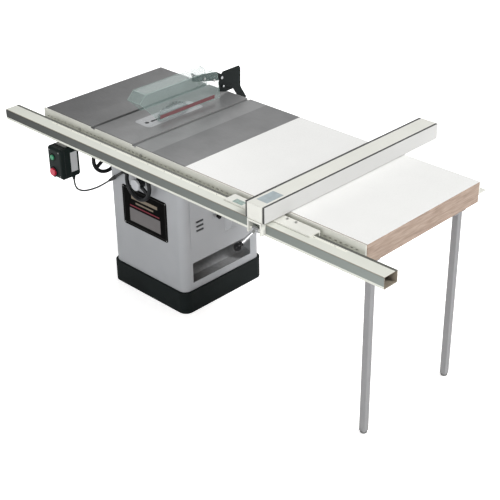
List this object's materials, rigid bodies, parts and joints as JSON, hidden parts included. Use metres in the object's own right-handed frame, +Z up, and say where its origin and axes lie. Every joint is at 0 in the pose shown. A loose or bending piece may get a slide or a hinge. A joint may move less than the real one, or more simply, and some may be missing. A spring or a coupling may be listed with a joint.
{
  "type": "cabinet table saw",
  "caption": "Cabinet table saw with cast iron top, side extension table on legs, guide tube with T-square fence, tilting blade under a clear guard, handwheels and a push-button switch.",
  "frame": {"origin": "centre of the base's underside, on the floor", "axes": "+X to the operator's right along the fence rail, +Y away from the operator, +Z up; the blade stands in the plane X = 0 at rest"},
  "size_m": [2.174, 1.1564, 1.013],
  "materials": {
    "base_black": "satin",
    "cabinet_grey": "satin",
    "panel_black": "satin",
    "sheet_steel": "satin",
    "cast_top": "ground",
    "cast_grey": "painted",
    "zinc_steel": "zinc plated",
    "rail_cream": "satin",
    "insert_aluminium": "satin",
    "laminate_white": "satin",
    "plywood": "bare",
    "leg_grey": "satin",
    "rubber_black": "matte",
    "machined_steel": "machined",
    "blade_steel": "polished",
    "motor_core": "painted",
    "wheel_black": "gloss paint",
    "handle_black": "gloss",
    "knob_grey": "satin",
    "splitter_black": "satin",
    "guard_clear": "clear",
    "arm_black": "gloss",
    "cap_black": "satin",
    "face_board": "satin",
    "nylon_white": "satin",
    "switch_black": "satin",
    "start_green": "gloss",
    "stop_red": "gloss"
  },
  "bodies": {
    "stand": {"base_plinth": "base_black", "cabinet_shell": "cabinet_grey", "name_panel": "panel_black", "dust_chute": "sheet_steel", "table_main": "cast_top", "table_wings": "cast_top", "table_bolts": "zinc_steel", "throat_plate": "insert_aluminium", "front_rail_angle": "rail_cream", "rear_rail_angle": "rail_cream", "guide_tube": "rail_cream", "extension_laminate": "laminate_white", "extension_frame": "plywood", "extension_legs": "leg_grey", "leg_feet": "rubber_black", "front_trunnion_bracket": "cast_grey", "rear_trunnion_bracket": "cast_grey", "switch_bracket": "zinc_steel", "switch_box": "switch_black", "power_cord": "rubber_black", "cord_connector": "cap_black"},
    "cover": {"motor_cover": "cabinet_grey"},
    "carriage": {"front_trunnion": "cast_grey", "rear_trunnion": "cast_grey", "carriage_beams": "cast_grey", "arm_pivot_pin": "machined_steel", "splitter_rod": "machined_steel", "splitter_bracket": "splitter_black", "splitter_plate": "splitter_black", "guard_pivot_pins": "machined_steel"},
    "guard": {"guard_shield": "guard_clear", "guard_arms": "arm_black"},
    "pawls": {"kickback_pawls": "machined_steel"},
    "arm": {"arbor_arm": "cast_grey", "arbor_bearings": "machined_steel", "motor_body": "motor_core", "drive_belts": "rubber_black"},
    "arbor": {"arbor_shaft": "machined_steel", "saw_blade": "blade_steel", "arbor_nut": "machined_steel", "arbor_pulley": "machined_steel"},
    "rotor": {"motor_pulley": "machined_steel"},
    "raise_wheel": {"raise_handwheel": "wheel_black", "raise_shaft": "machined_steel"},
    "raise_handle": {"raise_spinner": "handle_black"},
    "raise_knob": {"raise_lock_knob": "knob_grey"},
    "tilt_wheel": {"tilt_handwheel": "wheel_black", "tilt_shaft": "machined_steel"},
    "tilt_handle": {"tilt_spinner": "handle_black"},
    "tilt_knob": {"tilt_lock_knob": "knob_grey"},
    "fence": {"fence_beam": "rail_cream", "fence_caps": "cap_black", "fence_faces": "face_board", "fence_head": "rail_cream", "fence_screws": "zinc_steel", "glide_pads": "nylon_white"},
    "lever": {"lock_lever": "machined_steel", "lock_knob": "handle_black"},
    "start": {"start_button": "start_green"},
    "stop": {"stop_button": "stop_red"}
  },
  "joints": [
    {"name": "tilt", "type": "hinge", "parent": "stand", "child": "carriage", "pos_m": [0, 0, 0.864], "axis": [0, -1, 0], "range_deg": [0, 45]},
    {"name": "raise", "type": "hinge", "parent": "carriage", "child": "arm", "pos_m": [0, 0.1168, 0.754], "axis": [1, 0, 0], "range_deg": [-9.5, 19]},
    {"name": "arbor_spin", "type": "hinge", "parent": "arm", "child": "arbor", "pos_m": [0, -0.05, 0.787], "axis": [1, 0, 0], "continuous": true},
    {"name": "motor_spin", "type": "hinge", "parent": "arm", "child": "rotor", "pos_m": [0, 0.02, 0.56], "axis": [1, 0, 0], "continuous": true},
    {"name": "raise_wheel_turn", "type": "hinge", "parent": "carriage", "child": "raise_wheel", "pos_m": [0.03, -0.3, 0.612], "axis": [0, -1, 0], "range_deg": [-379, 759]},
    {"name": "raise_handle_spin", "type": "hinge", "parent": "raise_wheel", "child": "raise_handle", "pos_m": [0.03, -0.34, 0.687], "axis": [0, -1, 0], "continuous": true},
    {"name": "raise_knob_turn", "type": "hinge", "parent": "raise_wheel", "child": "raise_knob", "pos_m": [0.03, -0.315, 0.612], "axis": [0, -1, 0], "range_deg": [0, 270]},
    {"name": "tilt_wheel_turn", "type": "hinge", "parent": "stand", "child": "tilt_wheel", "pos_m": [-0.318, -0.194, 0.602], "axis": [-1, 0, 0], "range_deg": [-2698, 0]},
    {"name": "tilt_handle_spin", "type": "hinge", "parent": "tilt_wheel", "child": "tilt_handle", "pos_m": [-0.355, -0.194, 0.677], "axis": [-1, 0, 0], "continuous": true},
    {"name": "tilt_knob_turn", "type": "hinge", "parent": "tilt_wheel", "child": "tilt_knob", "pos_m": [-0.333, -0.194, 0.602], "axis": [-1, 0, 0], "range_deg": [0, 270]},
    {"name": "guard_lift", "type": "hinge", "parent": "carriage", "child": "guard", "pos_m": [0, 0.25, 0.945], "axis": [-1, 0, 0], "range_deg": [0, 60]},
    {"name": "pawl_swing", "type": "hinge", "parent": "carriage", "child": "pawls", "pos_m": [0, 0.262, 0.9], "axis": [1, 0, 0], "range_deg": [0, 35]},
    {"name": "cover_swing", "type": "hinge", "parent": "stand", "child": "cover", "pos_m": [0.2504, 0.204, 0.54], "axis": [0, 0, 1], "range_deg": [0, 110]},
    {"name": "fence_slide", "type": "slide", "parent": "stand", "child": "fence", "axis": [1, 0, 0], "range_m": [-0.886, 0.338]},
    {"name": "lever_lift", "type": "hinge", "parent": "fence", "child": "lever", "pos_m": [0.98, -0.53, 0.828], "axis": [-1, 0, 0], "range_deg": [0, 70]},
    {"name": "start_press", "type": "slide", "parent": "stand", "child": "start", "axis": [0, 1, 0], "range_m": [0, 0.004], "stiffness_N_per_m": 600, "springref_m": -0.002},
    {"name": "stop_press", "type": "slide", "parent": "stand", "child": "stop", "axis": [0, 1, 0], "range_m": [0, 0.004], "stiffness_N_per_m": 600, "springref_m": -0.002}
  ],
  "couplings": [
    {"joint": "tilt", "follows": "tilt_wheel_turn", "ratio": -0.016667},
    {"joint": "raise", "follows": "raise_wheel_turn", "ratio": 0.025},
    {"joint": "motor_spin", "follows": "arbor_spin", "ratio": 0.7692}
  ]
}
